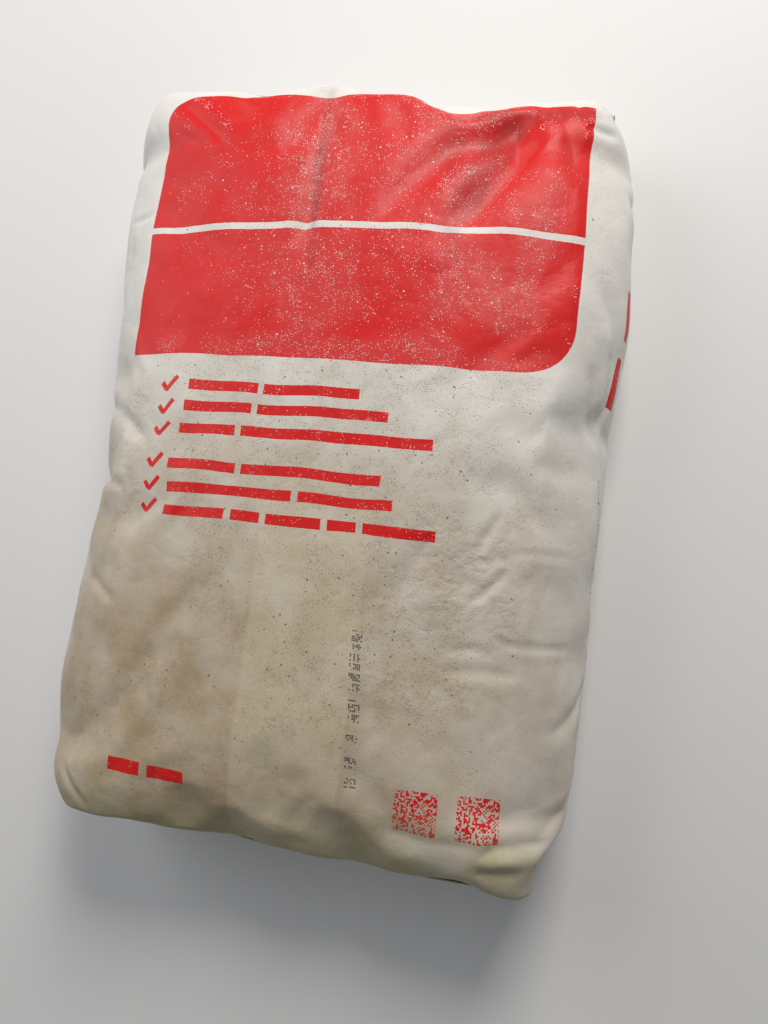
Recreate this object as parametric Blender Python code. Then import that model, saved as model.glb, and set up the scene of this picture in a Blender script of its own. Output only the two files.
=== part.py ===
"""A filled 25 kg valve sack of cement, lying on its back face.

Metres, +Z up. X runs across the sack, Y along it towards the valve end.
The origin is on the floor under the middle of the sack.
"""
import math

import bmesh
import bpy

# Driving dimensions
SACK_LENGTH = 0.535
SACK_WIDTH = 0.395
CROWN_HEIGHT = 0.115
END_WIDTH = 0.336
END_DEPTH = 0.092

# How the filled tube leaves its square ends
CROWN_TAPER_LENGTH = 0.120
SQUARE_LENGTH = 0.050
WIDEST_SHARE = 0.46
FLOOR_CONTACT = 0.004

# Reach from the centre line at places along the sack, both as shares: places from the base (-1) to the
# valve end (1), reach from the end width (0) to the sack's full width (1)
LEFT_SWELL = (
    (-1.00, -0.13), (-0.94, 0.22), (-0.87, 0.53), (-0.75, 0.76), (-0.45, 0.81), (-0.11, 0.70),
    (0.15, 0.79), (0.41, 0.93), (0.67, 1.00), (0.88, 0.80), (1.00, 0.34),
)
RIGHT_SWELL = (
    (-1.00, -0.03), (-0.94, 0.12), (-0.88, 0.42), (-0.75, 0.57), (-0.45, 0.60), (-0.15, 0.63),
    (0.15, 0.67), (0.26, 0.87), (0.39, 1.00), (0.60, 0.94), (0.81, 0.73), (0.92, 0.49), (1.00, 0.00),
)

# Corner rounding of the cross section, as superellipse exponents
END_SQUARENESS = 7.0
TOP_SQUARENESS = 2.9
WAIST_SQUARENESS = 2.45
WAIST_LENGTH = 0.100
FLOOR_SQUARENESS = 5.4

# Folds, sags and dents that change the outline
LIP_HEIGHT = 0.003
LIP_WIDTH = 0.014
VALVE_SAG = 0.015
VALVE_SAG_LENGTH = 0.100

# Hollows and swellings of the front: middle and reach as shares of the sack's half width and half length,
# height as a share of its crown
HOLLOWS = (
    ((0.76, 0.83), (0.172, 0.082), -0.052),
    ((0.47, 0.98), (0.132, 0.052), -0.070),
    ((0.02, 0.98), (0.111, 0.097), -0.061),
    ((-0.18, -0.96), (0.152, 0.127), -0.078),
    ((-0.53, 0.95), (0.228, 0.112), 0.035),
    ((-0.85, -0.81), (0.091, 0.067), -0.052),
)

# Glued papers of the ends
PATCH_THICKNESS = 0.0006
PATCH_MARGIN = 0.009
SLEEVE_LENGTH = 0.085
SLEEVE_DEPTH = 0.044
SLEEVE_MIDDLE = 0.038
SLEEVE_THICKNESS = 0.0016
SLEEVE_REACH = 0.004
FIT_GAP = 0.0003

# Mesh density
FACE_STEPS = 22
SIDE_STEPS = 6
STATIONS = 46
CUTTER_OVERRUN = 0.030


def clear_scene():
    for item in list(bpy.data.objects):
        bpy.data.objects.remove(item, do_unlink=True)


def paper(name, colour, roughness):
    material = bpy.data.materials.new(name)
    material.use_nodes = True
    shader = material.node_tree.nodes["Principled BSDF"]
    shader.inputs["Base Color"].default_value = (*colour, 1.0)
    shader.inputs["Roughness"].default_value = roughness
    shader.inputs["Metallic"].default_value = 0.0
    return material


def add_object(name, mesh_data, material):
    mesh = bpy.data.meshes.new(name)
    mesh_data.to_mesh(mesh)
    mesh_data.free()
    mesh.materials.append(material)
    item = bpy.data.objects.new(name, mesh)
    bpy.context.scene.collection.objects.link(item)
    return item


def mix(start, end, amount):
    return start + (end - start) * amount


def smooth(amount):
    amount = min(max(amount, 0.0), 1.0)
    return amount * amount * (3.0 - 2.0 * amount)


def quarter_round(distance, length):
    """Rise from 0 to 1 over a length, like a quarter of an ellipse."""
    left = 1.0 - min(max(distance / length, 0.0), 1.0)
    return math.sqrt(1.0 - left * left)


def sack_face():
    """Distance from the middle to an end face of the paper tube, under its patch."""
    return SACK_LENGTH / 2 - PATCH_THICKNESS - FIT_GAP


def end_distance(y):
    return max(sack_face() - abs(y), 0.0)


def through_points(points, place):
    """A smooth curve through a table of places and values, read at one place."""
    index = 0
    while index < len(points) - 2 and place > points[index + 1][0]:
        index += 1
    before = points[max(index - 1, 0)]
    near, far = points[index], points[index + 1]
    after = points[min(index + 2, len(points) - 1)]
    step = far[0] - near[0]
    t = min(max((place - near[0]) / step, 0.0), 1.0)
    near_slope = (far[1] - before[1]) / (far[0] - before[0]) * step
    far_slope = (after[1] - near[1]) / (after[0] - near[0]) * step
    start = (1.0 + 2.0 * t) * (1.0 - t) ** 2 * near[1] + t * (1.0 - t) ** 2 * near_slope
    end = t * t * (3.0 - 2.0 * t) * far[1] + t * t * (t - 1.0) * far_slope
    return start + end


def half_width(y, side):
    """Reach of the sack from its centre line, to the right (side 1) or the left (side -1)."""
    swell = RIGHT_SWELL if side > 0 else LEFT_SWELL
    return mix(END_WIDTH / 2, SACK_WIDTH / 2, through_points(swell, y / sack_face()))


def crown(y):
    return mix(END_DEPTH, CROWN_HEIGHT, quarter_round(end_distance(y), CROWN_TAPER_LENGTH))


def rectangle_steps():
    """Points around a square of half size 1, as many on each face as the sack's faces have."""
    points = []
    for step in range(FACE_STEPS):
        points.append((1.0 - 2.0 * step / FACE_STEPS, 1.0))
    for step in range(SIDE_STEPS):
        points.append((-1.0, 1.0 - 2.0 * step / SIDE_STEPS))
    for step in range(FACE_STEPS):
        points.append((-1.0 + 2.0 * step / FACE_STEPS, -1.0))
    for step in range(SIDE_STEPS):
        points.append((1.0, -1.0 + 2.0 * step / SIDE_STEPS))
    return points


def hollow(x, y, height_share):
    """How far the front rises over, or sags under, its even roundness."""
    height = 0.0
    for middle, reach, lift in HOLLOWS:
        across = (x / (SACK_WIDTH / 2) - middle[0]) / reach[0]
        along = (y / (SACK_LENGTH / 2) - middle[1]) / reach[1]
        height += lift * CROWN_HEIGHT * math.exp(-across * across - along * along)
    return height * smooth(height_share)


def lip(y, height_share):
    """The pinched fold that stands up along the front edge of each end."""
    fade = max(1.0 - end_distance(y) / LIP_WIDTH, 0.0)
    return LIP_HEIGHT * fade * fade * smooth(height_share * 4.0 - 3.0)


def valve_sag(y, across):
    """How far the valve corner hangs lower than the rest of its end."""
    near_end = smooth(1.0 - (sack_face() - y) / VALVE_SAG_LENGTH)
    return VALVE_SAG * near_end * smooth((across + 0.15) / 0.9)


def ring(y):
    """One closed cross section of the filled tube, as x and z pairs."""
    squareness = 1.0 - smooth(end_distance(y) / SQUARE_LENGTH)
    waist = math.exp(-(y / WAIST_LENGTH) ** 2)
    top_power = mix(mix(TOP_SQUARENESS, WAIST_SQUARENESS, waist), END_SQUARENESS, squareness)
    floor_power = mix(FLOOR_SQUARENESS, END_SQUARENESS, squareness)
    points = []
    for across, upward in rectangle_steps():
        top = crown(y) - valve_sag(y, across)
        middle = WIDEST_SHARE * top
        power = top_power if upward >= 0.0 else floor_power
        reach = (abs(across) ** power + abs(upward) ** power) ** (-1.0 / power)
        sideways = smooth(across + 0.5)
        x = mix(half_width(y, -1), half_width(y, 1), sideways) * across * reach
        if upward >= 0.0:
            z = middle + (top - middle) * upward * reach
            share = (z - middle) / (top - middle)
            z += lip(y, share) + hollow(x, y, share)
        else:
            z = max(middle + (middle + FLOOR_CONTACT) * upward * reach, 0.0)
        points.append((x, z))
    return points


def station_places():
    """Places of the rings along the sack, closer together near both ends."""
    places = []
    for station in range(STATIONS + 1):
        turn = math.pi * station / STATIONS
        even = 2.0 * station / STATIONS - 1.0
        places.append(sack_face() * mix(-math.cos(turn), even, 0.35))
    return places


def build_tube():
    data = bmesh.new()
    rings = []
    for y in station_places():
        rings.append([data.verts.new((x, y, z)) for x, z in ring(y)])
    count = len(rings[0])
    for near, far in zip(rings, rings[1:]):
        for index in range(count):
            after = (index + 1) % count
            data.faces.new((near[index], far[index], far[after], near[after]))
    data.faces.new(rings[0])
    data.faces.new(list(reversed(rings[-1])))
    bmesh.ops.recalc_face_normals(data, faces=data.faces)
    return data


def end_outline(margin):
    """The outline of an end face, drawn in by a margin all round."""
    outline = ring(sack_face())
    middle = END_DEPTH / 2
    across = 1.0 - margin / (END_WIDTH / 2)
    upward = 1.0 - margin / middle
    return [(x * across, middle + (z - middle) * upward) for x, z in outline]


def build_patch(name, direction, material):
    """A cover paper glued over one end; direction is 1 at the valve end, -1 at the base."""
    data = bmesh.new()
    inner = direction * (sack_face() + FIT_GAP)
    outer = direction * (SACK_LENGTH / 2)
    outline = end_outline(PATCH_MARGIN)
    back = [data.verts.new((x, inner, z)) for x, z in outline]
    front = [data.verts.new((x, outer, z)) for x, z in outline]
    count = len(outline)
    for index in range(count):
        after = (index + 1) % count
        data.faces.new((back[index], front[index], front[after], back[after]))
    data.faces.new(back)
    data.faces.new(list(reversed(front)))
    bmesh.ops.recalc_face_normals(data, faces=data.faces)
    return add_object(name, data, material)


def box(low, high):
    """A closed box between two corners."""
    data = bmesh.new()
    bmesh.ops.create_cube(data, size=1.0)
    for vertex in data.verts:
        for axis in range(3):
            place = mix(low[axis], high[axis], vertex.co[axis] + 0.5)
            vertex.co[axis] = place
    return data


def sleeve_box(gap, overrun):
    """The flattened sleeve's box, or its pocket when a gap and an overrun are given."""
    face = sack_face()
    low = (
        END_WIDTH / 2 - SLEEVE_LENGTH - gap,
        face - SLEEVE_THICKNESS - gap,
        SLEEVE_MIDDLE - SLEEVE_DEPTH / 2 - gap,
    )
    high = (
        END_WIDTH / 2 + SLEEVE_REACH + overrun,
        face + overrun,
        SLEEVE_MIDDLE + SLEEVE_DEPTH / 2 + gap,
    )
    return box(low, high)


def build_sack(material):
    sack = add_object("cement_sack", build_tube(), material)
    cutter = add_object("sleeve_pocket", sleeve_box(FIT_GAP, CUTTER_OVERRUN), material)
    cutter.hide_render = True
    cutter.display_type = "WIRE"
    pocket = sack.modifiers.new("sleeve_pocket", "BOOLEAN")
    pocket.operation = "DIFFERENCE"
    pocket.object = cutter
    return sack


def main():
    clear_scene()
    white = paper("white_paper", (0.80, 0.79, 0.76), 0.55)
    plain = paper("plain_white_paper", (0.76, 0.75, 0.72), 0.65)
    build_sack(white)
    build_patch("valve_end_patch", 1, plain)
    build_patch("base_end_patch", -1, plain)
    add_object("valve_sleeve", sleeve_box(0.0, 0.0), plain)


main()
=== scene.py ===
"""Looks of a filled 25 kg paper valve sack, lying on its back face."""

import math

import bpy
import numpy as np
from mathutils import Matrix, Vector, noise
from mathutils.bvhtree import BVHTree


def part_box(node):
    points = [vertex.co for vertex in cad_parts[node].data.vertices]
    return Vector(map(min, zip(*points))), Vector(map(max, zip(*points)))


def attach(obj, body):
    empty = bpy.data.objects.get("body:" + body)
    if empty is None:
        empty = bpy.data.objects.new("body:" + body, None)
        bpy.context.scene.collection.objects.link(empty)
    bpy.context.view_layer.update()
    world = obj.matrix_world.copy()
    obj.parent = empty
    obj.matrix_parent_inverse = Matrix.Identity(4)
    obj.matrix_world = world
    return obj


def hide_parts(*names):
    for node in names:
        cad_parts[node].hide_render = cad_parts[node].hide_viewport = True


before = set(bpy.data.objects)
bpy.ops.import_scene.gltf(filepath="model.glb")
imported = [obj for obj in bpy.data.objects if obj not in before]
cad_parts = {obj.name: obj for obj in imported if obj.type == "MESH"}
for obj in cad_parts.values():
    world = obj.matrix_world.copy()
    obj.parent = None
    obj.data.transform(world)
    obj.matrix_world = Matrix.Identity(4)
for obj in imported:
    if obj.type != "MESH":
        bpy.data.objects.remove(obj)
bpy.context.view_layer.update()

# The sack's box, from the frame
SACK_LOW, SACK_HIGH = (Vector(corner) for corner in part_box("cement_sack"))
HALF_LENGTH = (SACK_HIGH.y - SACK_LOW.y) / 2
SIDE_REACH = SACK_HIGH.x
SWELL_RISE = 0.003
CROWN = SACK_HIGH.z - SWELL_RISE

# Grid of the paper, a little closer together towards the ends
FACE_CELLS = 72
SIDE_CELLS = 20
LENGTH_CELLS = 104
END_CROWDING = 0.15

# Cross section: how far the ends lie under the crown, how far in they stay square, and how round the
# front and back are
END_DROP = 0.014
END_SLOPE_LENGTH = 0.120
SQUARE_LENGTH = 0.050
FLOOR_CONTACT = 0.004
WIDEST_SHARE = 0.46
TOP_POWER = 3.0
FLOOR_POWER = 4.6
END_POWER = 7.0
VALVE_SAG = 0.016
VALVE_SAG_LENGTH = 0.100
VALVE_SAG_FROM = -0.15
VALVE_SAG_SPREAD = 0.9
END_BULGE = 0.002

# Place along the sack and reach from its centre line, as shares of its half length and widest reach
LEFT_OUTLINE = (
    (-1.00, 0.834), (-0.94, 0.889), (-0.87, 0.936), (-0.75, 0.973), (-0.45, 0.979), (-0.11, 0.964),
    (0.15, 0.977), (0.41, 0.999), (0.67, 1.009), (0.88, 0.979), (1.00, 0.908),
)
RIGHT_OUTLINE = (
    (-1.00, 0.839), (-0.94, 0.861), (-0.88, 0.906), (-0.75, 0.932), (-0.45, 0.937), (-0.15, 0.947),
    (0.15, 0.952), (0.26, 0.972), (0.39, 0.992), (0.60, 0.982), (0.81, 0.952), (0.92, 0.916), (1.00, 0.844),
)

# Paper that buckles over the filling, and the number of the chance pattern that its folds start from
FOLD_PATTERN = 5
CLOTH_FRAMES = 24
PAPER_SPARE = 0.06
PAPER_CLOTH = {
    "quality": 6,
    "mass": 0.15,
    "tension_stiffness": 40,
    "compression_stiffness": 40,
    "shear_stiffness": 20,
    "bending_stiffness": 0.5,
    "tension_damping": 8,
    "compression_damping": 8,
    "shear_damping": 8,
    "bending_damping": 0.5,
    "air_damping": 1.0,
    "vertex_group_mass": "hold",
    "pin_stiffness": 1.0,
    "vertex_group_shrink": "spare",
    "shrink_min": 0.0,
    "shrink_max": -PAPER_SPARE,
    "use_pressure": True,
    "uniform_pressure_force": 1.5,
}
START_WAVE = 0.0015
START_WAVE_COUNT = 30
WAVE_FLOOR_GAP = 0.002

# How firmly the filling holds the paper, and where the paper has more to spare
HOLD = 0.05
FLOOR_HOLD_HEIGHT = 0.0005
BASE_END_SPARE = 0.6
END_SPARE_LENGTH = 0.06
SIDE_SPARE_FROM = 0.70
SIDE_SPARE_SPREAD = 0.2
SPARE_EVERYWHERE, SPARE_AT_ENDS, SPARE_AT_SIDES, SPARE_AT_CORNERS = 0.15, 0.45, 0.5, 0.4

# What is kept of the settled paper's overall swelling, and of its reach past the end faces
BULGE_STEPS = 200
BULGE_KEPT = 0.1
END_FACE_REACH = HALF_LENGTH - 0.001
END_OVERHANG = 0.3


# Without this number, the noise would start from the clock and the folds would differ each run
noise.seed_set(FOLD_PATTERN)


def smooth(amount):
    amount = np.clip(amount, 0.0, 1.0)
    return amount * amount * (3.0 - 2.0 * amount)


def hump(distance, width):
    """A soft hump, 1 at its middle."""
    return np.exp(-(distance / width) ** 2)


def through_points(points, places):
    """A smooth curve through an outline's points, read at many places."""
    x, y = (np.array(column) for column in zip(*points))
    slope = np.gradient(y, x)
    index = np.clip(np.searchsorted(x, places) - 1, 0, len(x) - 2)
    step = x[index + 1] - x[index]
    t = np.clip((places - x[index]) / step, 0.0, 1.0)
    near = (1 + 2 * t) * (1 - t) ** 2 * y[index] + t * (1 - t) ** 2 * step * slope[index]
    far = t * t * (3 - 2 * t) * y[index + 1] + t * t * (t - 1) * step * slope[index + 1]
    return near + far


def waves(places, count, shift=0.0):
    """A smooth random vector for each place, with so many waves in a metre."""
    offset = Vector((shift, shift, shift))
    return np.array([noise.noise_vector(Vector(place) * count + offset) for place in places])


def square_ring():
    """One ring of paper places on a square of half size 1: front, right side, back, left side."""
    face = np.arange(FACE_CELLS) * 2.0 / FACE_CELLS
    side = np.arange(SIDE_CELLS) * 2.0 / SIDE_CELLS
    across = np.concatenate([face - 1, np.ones(SIDE_CELLS), 1 - face, -np.ones(SIDE_CELLS)])
    upward = np.concatenate([np.ones(FACE_CELLS), 1 - side, -np.ones(FACE_CELLS), side - 1])
    return across, upward


def section(across, upward, y):
    """x and z of paper places on the filled sack, before any fold."""
    inward = HALF_LENGTH - np.abs(y)
    share = y / HALF_LENGTH
    square = 1 - smooth(inward / SQUARE_LENGTH)
    slope = 1 - np.clip(inward / END_SLOPE_LENGTH, 0, 1)
    top = CROWN - END_DROP * (1 - np.sqrt(1 - slope ** 2))
    sag = smooth(1 - (HALF_LENGTH - y) / VALVE_SAG_LENGTH)
    sag = sag * smooth((across - VALVE_SAG_FROM) / VALVE_SAG_SPREAD)
    top = top - VALVE_SAG * sag
    middle = WIDEST_SHARE * top
    power = np.where(upward >= 0, TOP_POWER, FLOOR_POWER)
    power = power + (END_POWER - power) * square
    reach = (np.abs(across) ** power + np.abs(upward) ** power) ** (-1 / power)
    left = through_points(LEFT_OUTLINE, share)
    right = through_points(RIGHT_OUTLINE, share)
    x = SIDE_REACH * (left + (right - left) * smooth(across + 0.5)) * across * reach
    above = middle + (top - middle) * upward * reach
    below = np.maximum(middle + (middle + FLOOR_CONTACT) * upward * reach, 0.0)
    return x, np.where(upward >= 0, above, below)


def girth_places(row):
    """Distance around a ring from the middle of the front, with the seam on the back."""
    closed = np.concatenate([row, row[:1]])
    steps = np.linalg.norm(np.diff(closed, axis=0), axis=1)
    along = np.concatenate([[0.0], np.cumsum(steps)])
    along -= along[FACE_CELLS // 2]
    return along, steps.sum()


def ring_index(station, step):
    count = 2 * (FACE_CELLS + SIDE_CELLS)
    return station * count + step % count


def build_grid():
    """Vertices, quads and paper places of the closed sack. Ends are grids across the last rings."""
    across, upward = square_ring()
    count = len(across)
    seam = FACE_CELLS + SIDE_CELLS + FACE_CELLS // 2
    even = np.linspace(-1, 1, LENGTH_CELLS + 1)
    crowded = np.sin(even * math.pi / 2)
    stations = HALF_LENGTH * ((1 - END_CROWDING) * even + END_CROWDING * crowded)
    rows = []
    for y in stations:
        x, z = section(across, upward, np.full(count, y))
        rows.append(np.stack([x, np.full(count, y), z], axis=1))
    girths = [girth_places(row) for row in rows]
    verts = [np.concatenate(rows)]
    quads = []
    places = []
    for station in range(LENGTH_CELLS):
        near, near_girth = girths[station]
        far, far_girth = girths[station + 1]
        for step in range(count):
            quads.append((
                ring_index(station, step), ring_index(station, step + 1),
                ring_index(station + 1, step + 1), ring_index(station + 1, step),
            ))
            wrap = 1 if step >= seam else 0
            places.append((
                (near[step] - wrap * near_girth, stations[station]),
                (near[step + 1] - wrap * near_girth, stations[station]),
                (far[step + 1] - wrap * far_girth, stations[station + 1]),
                (far[step] - wrap * far_girth, stations[station + 1]),
            ))
    for end in (0, LENGTH_CELLS):
        inner, cells, cell_places = end_grid(rows[end], end, sum(len(block) for block in verts))
        verts.append(inner)
        quads.extend(cells if end else [tuple(reversed(cell)) for cell in cells])
        places.extend(cell_places if end else [tuple(reversed(cell)) for cell in cell_places])
    return np.concatenate(verts), quads, np.array(places)


def end_grid(ring, end, first):
    """A grid that closes an end: rows run down from the front edge to the back edge."""
    outward = 1 if end else -1
    top = ring[:FACE_CELLS + 1]
    low = ring[FACE_CELLS + SIDE_CELLS:2 * FACE_CELLS + SIDE_CELLS + 1][::-1]
    right = ring[FACE_CELLS:FACE_CELLS + SIDE_CELLS + 1]
    left = np.concatenate([ring[2 * FACE_CELLS + SIDE_CELLS:], ring[:1]])[::-1]
    s = np.arange(1, FACE_CELLS)[None, :, None] / FACE_CELLS
    t = np.arange(1, SIDE_CELLS)[:, None, None] / SIDE_CELLS
    between = (1 - t) * top[None, 1:-1] + t * low[None, 1:-1]
    sideways = (1 - s) * left[1:-1, None] + s * right[1:-1, None]
    corners = (1 - s) * (1 - t) * top[0] + s * (1 - t) * top[-1] + (1 - s) * t * low[0] + s * t * low[-1]
    inner = between + sideways - corners
    bulge = (1 - (2 * s[..., 0] - 1) ** 2) * (1 - (2 * t[..., 0] - 1) ** 2)
    inner[..., 1] += outward * END_BULGE * bulge
    index = np.empty((SIDE_CELLS + 1, FACE_CELLS + 1), int)
    count = 2 * (FACE_CELLS + SIDE_CELLS)
    station = end * count
    index[0] = station + np.arange(FACE_CELLS + 1)
    index[-1] = station + (2 * FACE_CELLS + SIDE_CELLS - np.arange(FACE_CELLS + 1))
    index[:, -1] = station + FACE_CELLS + np.arange(SIDE_CELLS + 1)
    index[:, 0] = station + (count - np.arange(SIDE_CELLS + 1)) % count
    index[1:-1, 1:-1] = first + np.arange((SIDE_CELLS - 1) * (FACE_CELLS - 1)).reshape(SIDE_CELLS - 1, -1)
    width = top[-1, 0] - top[0, 0]
    height = top[:, 2].mean() - low[:, 2].mean()
    cells = []
    places = []
    for row in range(SIDE_CELLS):
        for column in range(FACE_CELLS):
            corner_steps = ((row, column), (row, column + 1), (row + 1, column + 1), (row + 1, column))
            cells.append(tuple(index[step] for step in corner_steps))
            places.append(tuple(
                (top[0, 0] + width * b / FACE_CELLS, outward * (HALF_LENGTH + height * a / SIDE_CELLS))
                for a, b in corner_steps
            ))
    return inner.reshape(-1, 3), cells, places


def add_object(name, data):
    item = bpy.data.objects.new(name, data)
    bpy.context.scene.collection.objects.link(item)
    return item


def add_mesh(name, verts, quads, places=None):
    mesh = bpy.data.meshes.new(name)
    mesh.from_pydata([tuple(v) for v in verts], [], quads)
    if places is not None:
        layer = mesh.uv_layers.new(name="paper")
        layer.data.foreach_set("uv", (places.reshape(-1, 2) + 0.5).astype(np.float32).ravel())
    mesh.update()
    mesh.shade_smooth()
    return add_object(name, mesh)


def read_values(items, name, width, kind=np.float32):
    """One property of all points, edges or corners of a mesh, a row for each."""
    values = np.empty(len(items) * width, kind)
    items.foreach_get(name, values)
    return values.reshape(-1, width)


def read_places(mesh):
    return read_values(mesh.vertices, "co", 3).astype(float)


def read_normals(mesh):
    return read_values(mesh.vertices, "normal", 3).astype(float)


def read_edges(mesh):
    return read_values(mesh.edges, "vertices", 2, np.int32)


def write_places(mesh, places):
    mesh.vertices.foreach_set("co", places.astype(np.float32).ravel())
    mesh.update()


def store_values(mesh, name, values):
    """Gives each point of a mesh a value that materials can read."""
    layer = mesh.attributes.new(name, "FLOAT", "POINT")
    layer.data.foreach_set("value", values.astype(np.float32))


def averaged(values, ends, steps, share=0.7):
    """Values of each vertex, mixed with their neighbours' over and over."""
    count = len(values)
    degree = np.bincount(ends.ravel(), minlength=count).astype(float)[:, None]
    for _ in range(steps):
        around = np.zeros_like(values)
        for column in range(values.shape[1]):
            around[:, column] += np.bincount(ends[:, 0], values[ends[:, 1], column], count)
            around[:, column] += np.bincount(ends[:, 1], values[ends[:, 0], column], count)
        values = (1 - share) * values + share * around / degree
    return values


def weight_group(item, name, weights):
    group = item.vertex_groups.new(name=name)
    for index, weight in enumerate(weights):
        group.add([index], float(weight), "REPLACE")


def paper_cloth(item):
    """The sack as stiff paper with a little to spare, blown up from inside."""
    cloth = item.modifiers.new("paper", "CLOTH")
    for name, value in PAPER_CLOTH.items():
        setattr(cloth.settings, name, value)
    cloth.settings.effector_weights.gravity = 0
    cloth.collision_settings.use_collision = False
    cloth.point_cache.frame_end = CLOTH_FRAMES
    return cloth


def settle(item, verts):
    """Lets the paper buckle over its filling, keeps the folds and takes the overall swelling out."""
    off_floor = (verts[:, 2] > WAVE_FLOOR_GAP)[:, None]
    write_places(item.data, verts + START_WAVE * waves(verts, START_WAVE_COUNT) * off_floor)
    inward = HALF_LENGTH - np.abs(verts[:, 1])
    weight_group(item, "hold", np.where(verts[:, 2] < FLOOR_HOLD_HEIGHT, 1.0, HOLD))
    end = hump(np.maximum(inward, 0), END_SPARE_LENGTH) * np.where(verts[:, 1] > 0, 1.0, BASE_END_SPARE)
    side = smooth((np.abs(verts[:, 0]) / SIDE_REACH - SIDE_SPARE_FROM) / SIDE_SPARE_SPREAD)
    spare = SPARE_EVERYWHERE + SPARE_AT_ENDS * end + SPARE_AT_SIDES * side + SPARE_AT_CORNERS * end * side
    weight_group(item, "spare", np.clip(spare, 0, 1))
    cloth = paper_cloth(item)
    for step in range(1, CLOTH_FRAMES + 1):
        bpy.context.scene.frame_set(step)
    depsgraph = bpy.context.evaluated_depsgraph_get()
    folded = read_places(item.evaluated_get(depsgraph).to_mesh())
    item.evaluated_get(depsgraph).to_mesh_clear()
    item.modifiers.remove(cloth)
    bpy.context.scene.frame_set(1)
    shift = folded - verts
    swelling = averaged(shift, read_edges(item.data), BULGE_STEPS)
    folded = verts + shift - (1 - BULGE_KEPT) * swelling
    folded[:, 2] = np.maximum(folded[:, 2], 0)
    beyond = np.maximum(np.abs(folded[:, 1]) - END_FACE_REACH, 0)
    folded[:, 1] -= np.sign(folded[:, 1]) * (1 - END_OVERHANG) * beyond
    write_places(item.data, folded)


def refine(item):
    """Halves every cell of the paper and keeps the result as the mesh."""
    finer = item.modifiers.new("finer", "SUBSURF")
    finer.levels = 1
    finer.render_levels = 1
    depsgraph = bpy.context.evaluated_depsgraph_get()
    mesh = bpy.data.meshes.new_from_object(item.evaluated_get(depsgraph))
    item.modifiers.remove(finer)
    mesh.name = item.name
    item.data = mesh
    mesh.shade_smooth()


def line_distance(places, points):
    """Distance of places from a line through points, and the share of the way along it."""
    points = np.array(points, float)
    steps = np.linalg.norm(np.diff(points, axis=0), axis=1)
    starts = np.concatenate([[0.0], np.cumsum(steps)])
    nearest = np.full(len(places), np.inf)
    share = np.zeros(len(places))
    for index, step in enumerate(steps):
        start, reach = points[index], points[index + 1] - points[index]
        t = np.clip((places - start) @ reach / step ** 2, 0.0, 1.0)
        distance = np.linalg.norm(places - start - t[:, None] * reach, axis=1)
        closer = distance < nearest
        nearest[closer] = distance[closer]
        share[closer] = (starts[index] + t[closer] * step) / starts[-1]
    return nearest, share


# A fold's fade at its ends, as a share of its length, and the banks beside it, in half widths and depths
FOLD_FADE = 0.22
BANK_PLACE = 2.4
BANK_WIDTH = 1.2
BANK_HEIGHT = 0.30
VALLEY_DEPTH = 1.15


def pressed_line(distance, share, depth, width):
    """Height of a fold: a sharp valley with a soft bank on both sides, fading at its ends."""
    fade = smooth(share / FOLD_FADE) * smooth((1 - share) / FOLD_FADE)
    valley = np.exp(-distance / width)
    bank = hump(distance - BANK_PLACE * width, BANK_WIDTH * width)
    return depth * fade * (BANK_HEIGHT * bank - VALLEY_DEPTH * valley)


# The side of the sack that a fold lies on: the two axes it is drawn in, and the way out
FRONT = ((0, 1), Vector((0, 0, 1)))
RIGHT = ((1, 2), Vector((1, 0, 0)))
LEFT = ((1, 2), Vector((-1, 0, 0)))
VALVE_END = ((0, 2), Vector((0, 1, 0)))
BASE_END = ((0, 2), Vector((0, -1, 0)))

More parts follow.
